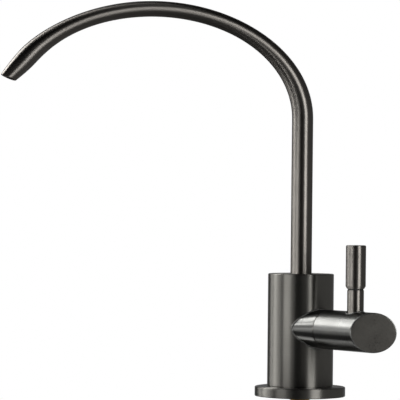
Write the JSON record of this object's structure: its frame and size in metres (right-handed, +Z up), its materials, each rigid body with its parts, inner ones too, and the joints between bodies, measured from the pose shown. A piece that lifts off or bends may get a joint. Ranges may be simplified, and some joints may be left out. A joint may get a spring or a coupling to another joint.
{
  "type": "drinking water filter tap",
  "caption": "Deck-mounted filter tap with a swivelling gooseneck spout, round body on a base flange, side barrel with an upright lever, and a threaded shank with push-in inlet.",
  "frame": {"origin": "centre of the tap's axis in the plane of the deck that the tap stands on", "axes": "+Z up along the riser, -X along the spout's reach at rest, -Y towards the viewer of the picture"},
  "size_m": [0.2224, 0.0812, 0.2922],
  "materials": {
    "gunmetal": "brushed dark gunmetal coating",
    "brass": "turned",
    "steel": "plain",
    "rubber": "matte moulded",
    "ceramic": "lapped",
    "nylon": "moulded",
    "white_plastic": "moulded",
    "grey_plastic": "moulded"
  },
  "bodies": {
    "tap_body": {"body": "gunmetal", "base_flange": "gunmetal", "deck_gasket": "rubber", "spout_collar": "gunmetal", "valve_housing": "gunmetal", "cartridge_sleeve": "brass", "seat_seal": "rubber", "fixed_disc": "ceramic", "thrust_washer": "nylon", "cartridge_oring": "rubber", "gland_nut": "brass", "shank": "brass", "shank_seal": "rubber", "inlet_fitting": "white_plastic", "inlet_face_seal": "rubber", "inlet_oring": "rubber", "grip_ring": "steel", "inlet_cap": "grey_plastic"},
    "spout": {"spout_tube": "gunmetal", "spout_foot": "brass", "spout_oring_upper": "rubber", "spout_oring_lower": "rubber", "spout_clip": "steel", "flow_straightener": "nylon"},
    "handle": {"handle_barrel": "gunmetal", "lever_neck": "gunmetal", "lever_grip": "gunmetal", "grub_screw": "steel", "spindle": "brass", "spindle_orings": "rubber", "moving_disc": "ceramic"},
    "clamp_washers": {"deck_washer_rubber": "rubber", "deck_washer_steel": "steel"},
    "clamp_nut": {"lock_nut": "brass"},
    "collet": {"release_collet": "grey_plastic"}
  },
  "joints": [
    {"name": "spout_swivel", "type": "hinge", "parent": "tap_body", "child": "spout", "pos_m": [0, 0, 0.06], "axis": [0, 0, 1], "continuous": true},
    {"name": "handle_turn", "type": "hinge", "parent": "tap_body", "child": "handle", "pos_m": [0, 0, 0.039], "axis": [0.5736, -0.8192, 0], "range_deg": [0, 90]},
    {"name": "washer_slide", "type": "slide", "parent": "tap_body", "child": "clamp_washers", "axis": [0, 0, 1], "range_m": [-0.0046, 0.0181]},
    {"name": "nut_turn", "type": "hinge", "parent": "clamp_washers", "child": "clamp_nut", "pos_m": [0, 0, -0.0285], "axis": [0, 0, 1], "range_deg": [-1080, 4320]},
    {"name": "collet_push", "type": "slide", "parent": "tap_body", "child": "collet", "axis": [0, 0, 1], "range_m": [0, 0.0015]}
  ],
  "couplings": [
    {"joint": "washer_slide", "follows": "nut_turn", "m_per_rad": 0.00023873}
  ]
}
